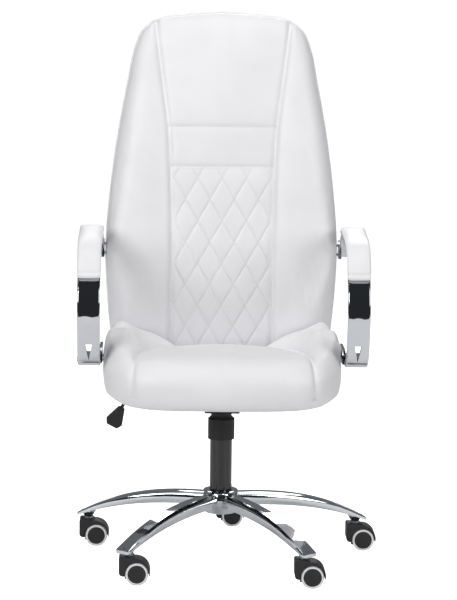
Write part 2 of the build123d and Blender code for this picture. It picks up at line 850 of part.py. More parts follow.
def back_cheeks():
    """Forward-turned ends of the back board that the arms bolt to."""
    half = back_half_widest - cheek_inset - cheek_thickness / 2
    low_y = back_rear_y - rear_panel_thickness - back_board_thickness - back_cheek_depth
    depth = back_cheek_depth + back_board_thickness / 2
    height = back_cheek_top - back_cheek_bottom
    cheek = Box(cheek_thickness, depth, height)
    middle = (low_y + depth / 2, (back_cheek_top + back_cheek_bottom) / 2)
    return [Pos(side * half, *middle) * cheek for side in (-1, 1)]


def build_back():
    half = back_half_widest + 10
    rear = between(back_rear_line(-rear_panel_thickness), back_rear_line(0), half)
    parts["back_rear_panel"] = rear & back_prism(4.0)

    front_shift = -rear_panel_thickness - back_board_thickness
    board_slab = between(back_rear_line(front_shift), back_rear_line(-rear_panel_thickness), half)
    board = board_slab & back_prism(back_board_inset)
    tie_height = back_cheek_top - back_cheek_bottom
    tie_middle = (back_cheek_top + back_cheek_bottom) / 2
    tie_zone = Pos(0, 200, tie_middle) * Box(2 * (back_half_widest - cheek_inset), 400, tie_height)
    board += board_slab & tie_zone
    for cheek in back_cheeks():
        board += cheek - between(back_rear_line(-rear_panel_thickness), back_rear_line(60), half)

    cushion = between(back_front_line(0), back_rear_line(-rear_panel_thickness), half) & back_prism(0)
    cushion -= board
    for side in (-1, 1):
        for place in rear_bolt_places:
            tip = back_half_widest - cheek_inset - cheek_thickness
            low = min(side * tip, side * (back_half_widest + 3))
            length = back_half_widest + 3 - tip
            rod = cross_rod(bolt_radius, low, low + length, rear_bolt_y, rear_bolt_z + place)
            cushion -= rod
            board -= rod
    parts["back_board"] = board
    parts["back_cushion"] = cushion


# ------------------------------------------------------------------------- arms

rear_bolt_y = arm_rear_y - rear_plate_length / 2 - 4
rear_bolt_z = 684.0


def offset_corners(points, distance):
    """Corners of the same open route moved to its right-hand side by a distance."""
    moved = []
    for place, point in enumerate(points):
        normals = []
        for low, high in ((place - 1, place), (place, place + 1)):
            if 0 <= low and high < len(points):
                run = Vector(*points[high]) - Vector(*points[low])
                normals.append(Vector(run.Y, -run.X).normalized())
        bisector = sum(normals, Vector(0, 0)).normalized()
        shift = bisector * (distance / bisector.dot(normals[0]))
        moved.append((point[0] + shift.X, point[1] + shift.Y))
    return moved


def ribbon(points, bends, inner, outer):
    """A face along a bent route, between two distances on its right-hand side."""
    near = FilletPolyline(*offset_corners(points, inner), radius=[bend + inner for bend in bends])
    far = FilletPolyline(*offset_corners(points, outer), radius=[bend + outer for bend in bends])
    ends = Line(near @ 0, far @ 0) + Line(near @ 1, far @ 1)
    return make_face(near + far + ends)


def point_between(first, second, axis, value):
    share = (value - first[axis]) / (second[axis] - first[axis])
    return tuple(a + (b - a) * share for a, b in zip(first, second))


arm_route = [
    (arm_rear_y, arm_rear_z),
    (arm_crown_y, arm_crown_z),
    (arm_brow_y, arm_brow_z),
    (arm_nose_y, arm_nose_z),
    (arm_heel_y, arm_foot_z),
    (arm_foot_y, arm_foot_z),
]
arm_bends = [arm_crown_bend, arm_brow_bend, arm_nose_bend, arm_heel_bend]


def arm_frame():
    """The right-hand arm's chromed band with its foot and rear plates."""
    half = arm_band_thickness / 2
    band = yz_block(ribbon(arm_route, arm_bends, -half, half), arm_inner, arm_inner + arm_band_width)
    long_edges = band.edges().filter_by(lambda edge: abs((edge @ 0).X - (edge @ 1).X) < 0.01)
    rims = [edge for edge in long_edges if edge.length > arm_band_thickness + 1]
    band = fillet(rims, arm_edge_round)
    bore = half - arm_band_wall
    width = arm_band_width - 2 * arm_band_wall
    hollow = ribbon(arm_route, arm_bends, -bore, bore)
    band -= yz_block(hollow, arm_inner + arm_band_wall, arm_inner + arm_band_wall + width)

    plate_inner = seat_half_width + bracket_gap
    foot_length = arm_foot_y - foot_bolt_places[0] + 16
    foot = Box(arm_inner - plate_inner + 4, foot_length, foot_plate_height)
    foot_x = (plate_inner + arm_inner + 4) / 2
    foot_middle_z = arm_foot_z - half + foot_plate_height / 2
    band += Pos(foot_x, arm_foot_y - foot_length / 2, foot_middle_z) * foot

    rear_inner = back_half_widest + bracket_gap
    rear_x = (rear_inner + arm_inner + 6) / 2
    rear = Box(arm_inner + 6 - rear_inner, rear_plate_length, rear_plate_height)
    band += Pos(rear_x, rear_bolt_y, rear_bolt_z) * rear

    slot_outline = make_face(Polyline(
        (arm_middle_x - arm_slot_width / 2, arm_slot_top),
        (arm_middle_x + arm_slot_width / 2, arm_slot_top),
        (arm_middle_x, arm_slot_bottom),
        close=True,
    ))
    slot_depth = abs(arm_nose_y) + 20
    band -= extrude(Plane.XZ.offset(60) * slot_outline, slot_depth)
    return band


def arm_bolts():
    """Bolts of the right-hand arm, each with its head on the outside."""
    bolts = []
    outer = arm_inner + arm_band_width
    tip = seat_half_width - cheek_inset - cheek_thickness
    for y in foot_bolt_places:
        bolt = cross_rod(bolt_radius, tip, outer, y, arm_foot_z)
        bolt += cross_rod(bolt_head_radius, outer, outer + bolt_head_height, y, arm_foot_z)
        bolts.append(bolt)
    rear_outer = arm_inner + 6
    rear_tip = back_half_widest - cheek_inset - cheek_thickness
    for place in rear_bolt_places:
        z = rear_bolt_z + place
        bolts.append(cross_rod(bolt_radius, rear_tip, rear_outer, rear_bolt_y, z))
    return bolts


def build_arms():
    frame = arm_frame()
    bolts = arm_bolts()
    for bolt in bolts:
        frame -= bolt
    pad_rear = point_between(arm_route[0], arm_route[1], 0, arm_pad_rear_y)
    pad_front = point_between(arm_route[2], arm_route[3], 1, arm_pad_front_z)
    pad_route = [pad_rear, arm_route[1], arm_route[2], pad_front]
    low = arm_band_thickness / 2
    pad_face = ribbon(pad_route, arm_bends[:2], low, low + arm_pad_thickness)
    pad_inner = arm_middle_x - arm_pad_width / 2
    pad = yz_block(pad_face, pad_inner, pad_inner + arm_pad_width)
    pad = fillet(pad.edges(), arm_pad_round)
    parts["arm_frame_right"] = frame
    parts["arm_frame_left"] = mirror(frame, Plane.YZ)
    parts["arm_pad_right"] = pad
    parts["arm_pad_left"] = mirror(pad, Plane.YZ)

    all_bolts = bolts + [mirror(bolt, Plane.YZ) for bolt in bolts]
    for x in (-plate_bolt_x, plate_bolt_x):
        for y in (-plate_bolt_y, plate_bolt_y):
            head_low = plate_bottom - bolt_head_height
            bolt = tube_solid(bolt_radius, 0, plate_bottom, board_top - 2, (x, y))
            bolt += tube_solid(bolt_head_radius, 0, head_low, plate_bottom, (x, y))
            all_bolts.append(bolt)
    parts["mounting_bolts"] = Compound(children=all_bolts)


# ------------------------------------------------------------------------ build

build_star_base()
build_caster_stems()
for caster_index in range(leg_count):
    build_caster(caster_index)
build_gas_lift()
build_covers()
build_tilt_housing()
build_seat_plate()
build_spring_and_tension()
build_lever()
build_seat()
build_back()
build_arms()

os.makedirs("parts", exist_ok=True)
for node, shape in parts.items():
    export_step(shape, f"parts/{node}.step")
print(len(parts), "nodes written")
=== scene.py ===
# %% [markdown]
# # A white executive swivel chair
# The frame, the base, the column and everything that moves come from the CAD model.
# Here the chair gets its looks: sewn and padded leatherette, chrome, moulded nylon,
# and the soft light of a studio. Everything is in metres, in the CAD model's frame.

# %% The frame
import bpy
import json
import numpy as np
from math import atan, cos, pi, radians, sin
from mathutils import Matrix, Vector
from mathutils.bvhtree import BVHTree


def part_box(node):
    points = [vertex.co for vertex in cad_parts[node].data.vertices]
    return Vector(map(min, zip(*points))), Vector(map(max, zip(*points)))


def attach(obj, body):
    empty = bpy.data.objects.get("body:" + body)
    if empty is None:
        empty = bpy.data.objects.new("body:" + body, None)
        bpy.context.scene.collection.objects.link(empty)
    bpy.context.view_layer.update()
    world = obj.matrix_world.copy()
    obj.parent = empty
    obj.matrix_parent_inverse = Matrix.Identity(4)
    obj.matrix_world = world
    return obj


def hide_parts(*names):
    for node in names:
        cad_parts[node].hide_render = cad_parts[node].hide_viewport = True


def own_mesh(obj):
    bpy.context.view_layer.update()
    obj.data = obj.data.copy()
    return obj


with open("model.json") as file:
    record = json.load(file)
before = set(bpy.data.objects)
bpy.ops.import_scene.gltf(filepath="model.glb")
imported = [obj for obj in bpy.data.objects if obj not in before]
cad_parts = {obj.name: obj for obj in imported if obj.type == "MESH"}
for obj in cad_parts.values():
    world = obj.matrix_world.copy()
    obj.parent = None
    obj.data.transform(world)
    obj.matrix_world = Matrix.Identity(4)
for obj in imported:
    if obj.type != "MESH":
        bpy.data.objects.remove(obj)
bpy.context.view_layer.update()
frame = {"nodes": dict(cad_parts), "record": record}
scene = bpy.context.scene
mm = 0.001

# %% [markdown]
# ## The camera
# A product picture is taken with a long lens from far away, so that the chair keeps its
# proportions. The lens looks a little down on the seat. Blender's camera looks along its
# own -Z, so the matrix is made of where right, up and backwards point.

# %% The camera
camera_distance = 5.5
camera_height = 1.335
camera_side = radians(-1.26)
camera_pitch = radians(7.72)
camera_roll = radians(0.66)
focal_length = 148.3
sensor_width = 36
image_height = 600
column_offset = 5.9            # how far left of the middle the column stands, in image units

focal_in_image = focal_length / sensor_width * image_height
heading = camera_side + atan(-column_offset / focal_in_image)
ahead = Vector((
    -sin(heading) * cos(camera_pitch), cos(heading) * cos(camera_pitch), -sin(camera_pitch),
))
level_right = Vector((cos(heading), sin(heading), 0))
level_up = level_right.cross(ahead)
right = level_right * cos(camera_roll) + level_up * sin(camera_roll)
up = level_up * cos(camera_roll) - level_right * sin(camera_roll)

camera = bpy.data.objects.new("camera", bpy.data.cameras.new("camera"))
camera.data.lens = focal_length
camera.data.clip_end = 60
turn = Matrix((right, up, -ahead)).transposed().to_4x4()
place = Vector((
    camera_distance * sin(camera_side), -camera_distance * cos(camera_side), camera_height,
))
camera.matrix_world = Matrix.Translation(place) @ turn
scene.collection.objects.link(camera)
scene.camera = camera
scene.view_settings.view_transform = "Standard"
print("camera at", [round(c, 3) for c in place])

# %% [markdown]
# ## The room
# White upholstery on white needs light that is soft and nearly even, with only a little
# more from the front than from the sides. Chrome is different: it shows the room itself.
# So the room has grey walls, darker in its front half, with softboxes in it, and the
# chrome gets its dark and bright bands from those. Only the camera sees the walls as a
# white backdrop: the light path node tells its rays from the light's own.

# %% Linear colours and one helper for nodes
def linear(code):
    """An sRGB colour such as '#ECEAEC' as linear red, green, blue and alpha."""
    values = [int(code[i:i + 2], 16) / 255 for i in (1, 3, 5)]
    return [v / 12.92 if v <= 0.04045 else ((v + 0.055) / 1.055) ** 2.4 for v in values] + [1.0]


def put(tree, kind, inputs=None, **settings):
    """Adds a node. inputs gives each socket a value or another node's output."""
    node = tree.nodes.new(kind)
    for name, value in settings.items():
        setattr(node, name, value)
    for socket, value in (inputs or {}).items():
        if isinstance(value, bpy.types.NodeSocket):
            tree.links.new(value, node.inputs[socket])
        else:
            node.inputs[socket].default_value = value
    return node


# %% The room's own light
room_back = linear("#6E7074")
room_front = linear("#2C2E31")
room = bpy.data.worlds.new("room")
scene.world = room
room.use_nodes = True
tree = room.node_tree
tree.nodes.clear()
direction = put(tree, "ShaderNodeTexCoord")
parts_of = put(tree, "ShaderNodeSeparateXYZ", {0: direction.outputs["Generated"]})
backness = put(tree, "ShaderNodeMapRange", {0: parts_of.outputs["Y"], 1: -0.35, 2: 0.35})
walls = put(
    tree, "ShaderNodeMix", {0: backness.outputs[0], 6: room_front, 7: room_back}, data_type="RGBA"
)
seen = put(tree, "ShaderNodeLightPath").outputs["Is Camera Ray"]
backdrop = put(
    tree, "ShaderNodeMix", {0: seen, 6: walls.outputs[2], 7: linear("#FFFFFF")}, data_type="RGBA"
)
glow = put(tree, "ShaderNodeBackground", {0: backdrop.outputs[2], 1: 1.0})
put(tree, "ShaderNodeOutputWorld", {0: glow.outputs[0]})
print("room: white backdrop, grey walls, darker in front")

# %% Softboxes
softboxes = {
    "softbox_left": ((-2.6, -3.2, 2.6), (2.0, 2.4), 102),
    "softbox_right": ((2.9, -2.8, 2.2), (1.6, 2.2), 58),
    "softbox_top": ((0.0, -0.6, 3.6), (2.6, 2.6), 42),
    "softbox_back": ((0.4, 3.2, 3.0), (2.4, 1.8), 60),
}
aim = Vector((0, 0, 0.75))
for name, (spot, size, power) in softboxes.items():
    light = bpy.data.lights.new(name, "AREA")
    light.shape = "RECTANGLE"
    light.size, light.size_y = size
    light.energy = power
    lamp = bpy.data.objects.new(name, light)
    lamp.location = spot
    lamp.rotation_euler = (aim - Vector(spot)).to_track_quat("-Z", "Y").to_euler()
    scene.collection.objects.link(lamp)
print("softboxes:", len(softboxes))


# %% The floor
def new_mesh(name, points, faces):
    mesh = bpy.data.meshes.new(name)
    mesh.from_pydata([tuple(p) for p in points], [], [tuple(f) for f in faces])
    mesh.update()
    thing = bpy.data.objects.new(name, mesh)
    scene.collection.objects.link(thing)
    return thing


def new_material(name):
    """A material with one Principled shader; returns it, its tree and the shader."""
    made = bpy.data.materials.new(name)
    made.use_nodes = True
    shader = made.node_tree.nodes["Principled BSDF"]
    return made, made.node_tree, shader


# The floor is a sheet of matt vinyl that ends a little in front of the chair. To the
# camera it glows, as a lit table does, so that it is as white as the backdrop behind it.
floor_half, floor_front, floor_back = 20.0, -2.2, 40.0
table_glow = 0.97
corners = [
    (-floor_half, floor_front, 0), (floor_half, floor_front, 0),
    (floor_half, floor_back, 0), (-floor_half, floor_back, 0),
]
floor = new_mesh("floor", corners, [(0, 1, 2, 3)])
paint, tree, shader = new_material("matt_white_vinyl")
shader.inputs["Base Color"].default_value = linear("#F4F4F4")
shader.inputs["Roughness"].default_value = 0.6
shader.inputs["Emission Color"].default_value = linear("#FFFFFF")
seen = put(tree, "ShaderNodeLightPath").outputs["Is Camera Ray"]
shine = put(tree, "ShaderNodeMath", {0: seen, 1: table_glow}, operation="MULTIPLY")
tree.links.new(shine.outputs[0], shader.inputs["Emission Strength"])
floor.data.materials.append(paint)

# %% [markdown]
# ## Leatherette
# The upholstery is PU leatherette: a woven backing with a skin of white polyurethane that
# was rolled with a fine leather grain. It is nearly matt, with a soft broad shine where it
# bends. The grain is a cell pattern of about 1 mm; at this distance that is too fine to
# show, so it is drawn twice as coarse and shallow. A slow change of tone over a few
# centimetres stands for the way the skin stretches over the foam.

# %% Leatherette
grain_width = 2.2 * mm
tone_width = 90 * mm


def leatherette(name, base, shade, roughness):
    made, tree, shader = new_material(name)
    spot = put(tree, "ShaderNodeTexCoord").outputs["Object"]
    grain = {"Vector": spot, "Scale": 1 / grain_width}
    cells = put(tree, "ShaderNodeTexVoronoi", grain, feature="SMOOTH_F1")
    creases = {"Vector": spot, "Scale": 1 / (3 * grain_width), "Detail": 4.0}
    folds = put(tree, "ShaderNodeTexNoise", creases).outputs[0]
    stretch = {"Vector": spot, "Scale": 1 / tone_width, "Detail": 2.0}
    slow = put(tree, "ShaderNodeTexNoise", stretch).outputs[0]
    tone = put(tree, "ShaderNodeMapRange", {0: slow, 1: 0.3, 2: 0.7}).outputs[0]
    tones = {0: tone, 6: linear(shade), 7: linear(base)}
    mix = put(tree, "ShaderNodeMix", tones, data_type="RGBA")
    height = put(tree, "ShaderNodeMath", {0: cells.outputs[0], 1: folds}, operation="ADD")
    relief = {"Height": height.outputs[0], "Strength": 0.12, "Distance": 0.3 * mm}
    bump = put(tree, "ShaderNodeBump", relief)
    rough = put(tree, "ShaderNodeMapRange", {0: folds, 3: roughness - 0.05, 4: roughness + 0.07})
    tree.links.new(mix.outputs[2], shader.inputs["Base Color"])
    tree.links.new(rough.outputs[0], shader.inputs["Roughness"])
    tree.links.new(bump.outputs[0], shader.inputs["Normal"])
    shader.inputs["IOR"].default_value = 1.5
    shader.inputs["Sheen Weight"].default_value = 0.08
    shader.inputs["Sheen Roughness"].default_value = 0.4
    return made


white_leatherette = leatherette("pu_leatherette_white", "#EFEEF0", "#EAE9EB", 0.46)
print("leatherette made, grain drawn at", grain_width / mm, "mm")

# %% [markdown]
# ## Metals
# The base and the arms are steel with a bright chrome plate: a mirror with a slightly
# blue-grey tint. Plating shop polish leaves faint clouds in the gloss, so roughness wanders
# a little. The small hardware is zinc-plated, which is greyer and much less sharp.

# %% Chrome and zinc
def plated(name, tint, low, high, cloud_width, wave, detail=1.0):
    made, tree, shader = new_material(name)
    spot = put(tree, "ShaderNodeTexCoord").outputs["Object"]
    drift = {"Vector": spot, "Scale": 1 / cloud_width, "Detail": detail}
    clouds = put(tree, "ShaderNodeTexNoise", drift).outputs[0]
    rough = put(tree, "ShaderNodeMapRange", {0: clouds, 3: low, 4: high})
    tree.links.new(rough.outputs[0], shader.inputs["Roughness"])
    if wave:
        bump = put(tree, "ShaderNodeBump", {"Height": clouds, "Strength": 0.5, "Distance": wave})
        tree.links.new(bump.outputs[0], shader.inputs["Normal"])
    shader.inputs["Base Color"].default_value = linear(tint)
    shader.inputs["Metallic"].default_value = 1.0
    return made


chrome_finish = ("#D6D9DC", 0.03, 0.08, 40 * mm)
chrome = plated("polished_chrome_plate", *chrome_finish, 3.0 * mm)
zinc = plated("zinc_plated_steel", "#B9BABC", 0.28, 0.42, 6 * mm, 0.05 * mm, 5.0)
print("metals:", chrome.name, zinc.name)

# %% [markdown]
# ## The legs' chrome
# The legs are pressed from flat sheet, and the press leaves their sides slightly bowed, so
# each side shows a bright line, a dark band and a bright line along the leg. The bow is
# too slight to draw in the mesh. The bump follows the leg: the height of a point is
# measured from the line halfway down the leg's side, which falls away from the hub.

# %% Chrome of the base
# At share of the way to the caster, the middle line of the leg's side has fallen by
# leg_fall times share to the power of leg_bend. off is the height above that line.
leg_reach, leg_bend, leg_fall = 324 * mm, 2.7, 52 * mm
hub_crown, half_side = 7 * mm, 14.5 * mm
bow_curve = -24.0
ripple_width, ripple_depth, ripple_stretch = 8 * mm, 1.0 * mm, 0.06
leg_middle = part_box("star_base")[1][2] - hub_crown - half_side

leg_chrome = plated("polished_chrome_legs", *chrome_finish, 0)
tree = leg_chrome.node_tree
shader = tree.nodes["Principled BSDF"]
spot = put(tree, "ShaderNodeTexCoord").outputs["Object"]
to_plan = {0: spot, 1: (1, 1, 0)}
flat_spot = put(tree, "ShaderNodeVectorMath", to_plan, operation="MULTIPLY").outputs[0]
reach = put(tree, "ShaderNodeVectorMath", {0: flat_spot}, operation="LENGTH").outputs["Value"]
share = put(tree, "ShaderNodeMath", {0: reach, 1: leg_reach}, operation="DIVIDE").outputs[0]
bend = put(tree, "ShaderNodeMath", {0: share, 1: leg_bend}, operation="POWER").outputs[0]
height = put(tree, "ShaderNodeSeparateXYZ", {0: spot}).outputs["Z"]
fallen = {0: bend, 1: leg_fall, 2: height}
level = put(tree, "ShaderNodeMath", fallen, operation="MULTIPLY_ADD").outputs[0]
off = put(tree, "ShaderNodeMath", {0: level, 1: leg_middle}, operation="SUBTRACT").outputs[0]

# The ripples are drawn out along the leg, so their pattern is squeezed across X and Y.
squeeze = {0: spot, 1: (ripple_stretch, ripple_stretch, 0)}
drawn = put(tree, "ShaderNodeVectorMath", squeeze, operation="MULTIPLY").outputs[0]
upward = put(tree, "ShaderNodeCombineXYZ", {2: off}).outputs[0]
along = put(tree, "ShaderNodeVectorMath", {0: drawn, 1: upward}, operation="ADD").outputs[0]
waves = {"Vector": along, "Scale": 1 / ripple_width, "Detail": 1.0}
ripple = put(tree, "ShaderNodeTexNoise", waves).outputs[0]
deep = put(tree, "ShaderNodeMath", {0: ripple, 1: ripple_depth}, operation="MULTIPLY").outputs[0]
squared = put(tree, "ShaderNodeMath", {0: off, 1: 2.0}, operation="POWER").outputs[0]
bowed = {0: squared, 1: bow_curve, 2: deep}
bow = put(tree, "ShaderNodeMath", bowed, operation="MULTIPLY_ADD").outputs[0]
bump = put(tree, "ShaderNodeBump", {"Height": bow, "Strength": 1.0, "Distance": 1.0})
tree.links.new(bump.outputs[0], shader.inputs["Normal"])
print("legs' chrome bows about", round(leg_middle / mm), "mm above the floor at the hub")

# %% [markdown]
# ## Black parts
# The casters, the column cover, the paddle and the knob are moulded nylon with a fine
# spark-eroded texture, so they look dull. The gas tube is enamelled steel: smooth, and
# glossy enough to carry one long highlight. The pressed mechanism is powder-coated, which
# leaves a slight orange peel.

# %% Black plastics and paints
def coated(name, tint, worn, roughness, peel_width, peel_depth, coat=0.0):
    made, tree, shader = new_material(name)
    spot = put(tree, "ShaderNodeTexCoord").outputs["Object"]
    fine = {"Vector": spot, "Scale": 1 / peel_width, "Detail": 3.0}
    peel = put(tree, "ShaderNodeTexNoise", fine).outputs[0]
    broad = {"Vector": spot, "Scale": 1 / (25 * peel_width), "Detail": 2.0}
    slow = put(tree, "ShaderNodeTexNoise", broad).outputs[0]
    tones = {0: slow, 6: linear(tint), 7: linear(worn)}
    mix = put(tree, "ShaderNodeMix", tones, data_type="RGBA")
    bump = put(tree, "ShaderNodeBump", {"Height": peel, "Strength": 0.3, "Distance": peel_depth})
    rough = put(tree, "ShaderNodeMapRange", {0: slow, 3: roughness - 0.05, 4: roughness + 0.05})
    tree.links.new(mix.outputs[2], shader.inputs["Base Color"])
    tree.links.new(rough.outputs[0], shader.inputs["Roughness"])
    tree.links.new(bump.outputs[0], shader.inputs["Normal"])
    shader.inputs["Coat Weight"].default_value = coat
    return made


nylon = coated("moulded_black_nylon", "#1B1B1D", "#242426", 0.50, 0.8 * mm, 0.10 * mm)
enamel = coated("black_enamel", "#0C0C0E", "#141416", 0.24, 1.5 * mm, 0.02 * mm, 0.5)
powder = coated("black_powder_coat", "#151517", "#1E1E20", 0.36, 1.2 * mm, 0.08 * mm)
tread_white = coated("white_polyurethane_tread", "#EDEDED", "#E3E3E4", 0.38, 1.0 * mm, 0.04 * mm)
bush_nylon = coated("natural_nylon", "#DAD5C8", "#CFC9BB", 0.45, 0.8 * mm, 0.05 * mm)
print("moulded and painted finishes: 5")

# %% [markdown]
# ## Plywood
# The seat and back boards are bent beech plywood, and the covers all but hide them. The
# grain runs along X: long thin streaks a few millimetres apart, from a noise stretched
# ten times.

# %% Plywood
plywood, tree, shader = new_material("beech_plywood")
spot = put(tree, "ShaderNodeTexCoord").outputs["Object"]
along = put(tree, "ShaderNodeMapping", {"Vector": spot, "Scale": (0.1, 1.0, 1.0)})
grain = {"Vector": along.outputs[0], "Scale": 1 / (5 * mm), "Detail": 6.0}
streaks = put(tree, "ShaderNodeTexNoise", grain).outputs[0]
tones = {0: streaks, 6: linear("#B98F62"), 7: linear("#D9B98C")}
mix = put(tree, "ShaderNodeMix", tones, data_type="RGBA")
bump = put(tree, "ShaderNodeBump", {"Height": streaks, "Strength": 0.2, "Distance": 0.2 * mm})
tree.links.new(mix.outputs[2], shader.inputs["Base Color"])
tree.links.new(bump.outputs[0], shader.inputs["Normal"])
shader.inputs["Roughness"].default_value = 0.6
print("plywood made")

# %% Finishes for the CAD nodes
finish_of_slot = {
    "polished_chrome": chrome,
    "zinc_steel": zinc,
    "black_enamel": powder,
    "black_plastic": nylon,
    "inner_nylon": bush_nylon,
    "white_tread": tread_white,
    "plywood": plywood,
    "white_leatherette": white_leatherette,
}
slot_of_node = {row["node"]: row["material_slot"] for row in frame["record"]["subparts"]}


def dress(thing, material):
    thing.data.materials.clear()
    thing.data.materials.append(material)


for node, thing in frame["nodes"].items():
    dress(thing, finish_of_slot[slot_of_node[node]])
dress(frame["nodes"]["star_base"], leg_chrome)
dress(frame["nodes"]["gas_outer_tube"], enamel)
dress(frame["nodes"]["lever_rod"], enamel)
print("dressed", len(frame["nodes"]), "CAD nodes")

# %% [markdown]
# ## Sewn and padded pieces
# A cushion is foam in a cover that is sewn to shape: it bulges between its seams and is
# flat only where a board holds it. It could be a rounded box, but then every edge would
# look moulded. So each one starts as two surfaces that meet along an outline, the skin is
# remeshed into even squares, and Blender's cloth is blown up a little between the seams,
# which are held. Seams and quilting are pressed in after that.

# %% Smooth lines
def through(points):
    """A smooth function through (place, value) pairs, in millimetres."""
    places, values = np.array(points, dtype=float).T
    slopes = np.gradient(values, places)

    def value_at(where):
        where = np.clip(where, places[0], places[-1])
        low = np.clip(np.searchsorted(places, where, side="right") - 1, 0, len(places) - 2)
        gap = places[low + 1] - places[low]
        t = (where - places[low]) / gap
        ease = t * t * (3 - 2 * t)
        start = slopes[low] * gap * t * (1 - t) ** 2
        end = slopes[low + 1] * gap * t * t * (1 - t)
        return values[low] * (1 - ease) + values[low + 1] * ease + start - end

    return value_at


def smooth_path(points, count):
    """Evenly spread points on a smooth curve through a few corners."""
    corners = np.array(points, dtype=float)
    reach = np.concatenate(([0], np.cumsum(np.linalg.norm(np.diff(corners, axis=0), axis=1))))
    along = np.linspace(0, reach[-1], count)
    columns = [through(list(zip(reach, corners[:, k])))(along) for k in range(corners.shape[1])]
    return np.stack(columns, axis=1)


def distance_to(line, points):
    """How far each point is from an open line, both in the same plane."""
    starts = line[:-1]
    runs = line[1:] - starts
    share = ((points[:, None] - starts) * runs).sum(2) / (runs ** 2).sum(1)
    nearest = starts + np.clip(share, 0, 1)[..., None] * runs
    return np.linalg.norm(points[:, None] - nearest, axis=2).min(1)


def roll(distance, radius):
    """How much of its height a padded surface has, at a distance from its edge."""
    inward = 1 - np.clip(distance / radius, 0, 1)
    return np.sqrt(1 - inward ** 2)


# %% Two surfaces that meet along an outline
def mirrored(half):
    """A closed outline from its right half, which starts and ends on the middle line."""
    return np.concatenate((half, (half * [-1, 1])[-2:0:-1]))


def pillow(name, outline, centre, near, far, upright, rings=24):
    """A closed cushion. near and far give the height of each surface over a flat point."""
    shares = np.sin(pi / 2 * np.arange(1, rings + 1) / rings)
    flat = [centre] + [centre + share * (outline - centre) for share in shares]
    flat = np.vstack(flat)
    count = len(outline)
    inner = flat[:-count]
    heights = np.concatenate((near(flat), far(inner)))
    plane = np.vstack((flat, inner))
    order = (0, 2, 1) if upright else (0, 1, 2)
    points = np.column_stack((plane, heights))[:, order] * mm
    faces = []
    for offset in (0, len(flat)):
        for k in range(count):
            after = (k + 1) % count
            faces.append((offset, offset + 1 + k, offset + 1 + after))
            for ring in range(rings - 1):
                low = offset + 1 + ring * count
                high = low + count
                if ring == rings - 2:
                    high = 1 + (rings - 1) * count
                faces.append((low + k, high + k, high + after, low + after))
    return new_mesh(name, points, faces)


# %% Moving a mesh's points
def points_of(thing, what="co"):
    flat = np.empty(3 * len(thing.data.vertices))
    thing.data.vertices.foreach_get(what, flat)
    return flat.reshape(-1, 3)


def move_points(thing, points):
    thing.data.vertices.foreach_set("co", points.ravel())
    thing.data.update()


def applied(thing):
    """Puts what the modifiers make of a piece in place of its mesh."""
    graph = bpy.context.evaluated_depsgraph_get()
    made = bpy.data.meshes.new_from_object(thing.evaluated_get(graph))
    thing.modifiers.clear()
    thing.data = made


# %% Blowing a cover up between its seams
def soften(thing, held, cap, voxel=5 * mm, pressure=4.0, rounding=0):
    """Remeshes a piece, blows it up as cloth where held() is false, and smooths it."""
    remesh = thing.modifiers.new("even", "REMESH")
    remesh.mode = "VOXEL"
    remesh.voxel_size = voxel
    applied(thing)
    if rounding:
        worn = thing.modifiers.new("rounding", "SMOOTH")
        worn.factor = 0.5
        worn.iterations = rounding
        applied(thing)
    rest = points_of(thing)
    group = thing.vertex_groups.new(name="held")
    group.add([int(k) for k in np.nonzero(held(rest / mm))[0]], 1.0, "REPLACE")
    cloth = thing.modifiers.new("cover", "CLOTH")
    cloth.settings.quality = 5
    cloth.settings.mass = 0.3
    cloth.settings.use_pressure = True
    cloth.settings.uniform_pressure_force = pressure
    cloth.settings.vertex_group_mass = "held"
    cloth.settings.effector_weights.gravity = 0
    cloth.point_cache.frame_end = 20
    for step in range(1, 21):
        scene.frame_set(step)
    graph = bpy.context.evaluated_depsgraph_get()
    blown = points_of(thing.evaluated_get(graph))
    thing.modifiers.clear()
    thing.vertex_groups.clear()
    swell = blown - rest
    size = np.maximum(np.linalg.norm(swell, axis=1), 1e-9)
    move_points(thing, rest + swell * (cap * np.tanh(size / cap) / size)[:, None])
    scene.frame_set(1)
    print(thing.name, "swells up to", round(size.max() / mm, 1), "mm, kept under", cap / mm)
    smooth = thing.modifiers.new("smooth", "SUBSURF")
    smooth.levels = 1
    applied(thing)
    for face in thing.data.polygons:
        face.use_smooth = True


def press(thing, depth_at):
    """Presses a pattern in: depth_at gives millimetres for points and normals."""
    points = points_of(thing)
    normals = points_of(thing, "normal")
    depth = depth_at(points / mm, normals)
    move_points(thing, points - normals * (depth * mm)[:, None])


def valley(distance, depth, width):
    """A soft groove along a seam."""
    return depth * np.exp(-(distance / width) ** 2)


def upholster(thing, node):
    dress(thing, white_leatherette)
    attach(thing, "seat")
    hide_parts(node)
    low, high = np.array(thing.bound_box).min(0), np.array(thing.bound_box).max(0)
    print(thing.name, len(thing.data.polygons), "faces,", np.round((high - low) / mm), "mm")


# %% [markdown]
# ## The back
# The back is one tall cushion on a bent board. Two long seams part the middle from the
# wings. The wings stand proud of the middle, most of all beside the small of the back,
# and below the arms their outer edge turns away in a wide soft curve. Two level seams
# cross the middle, and below the lower one it is quilted in tall diamonds.

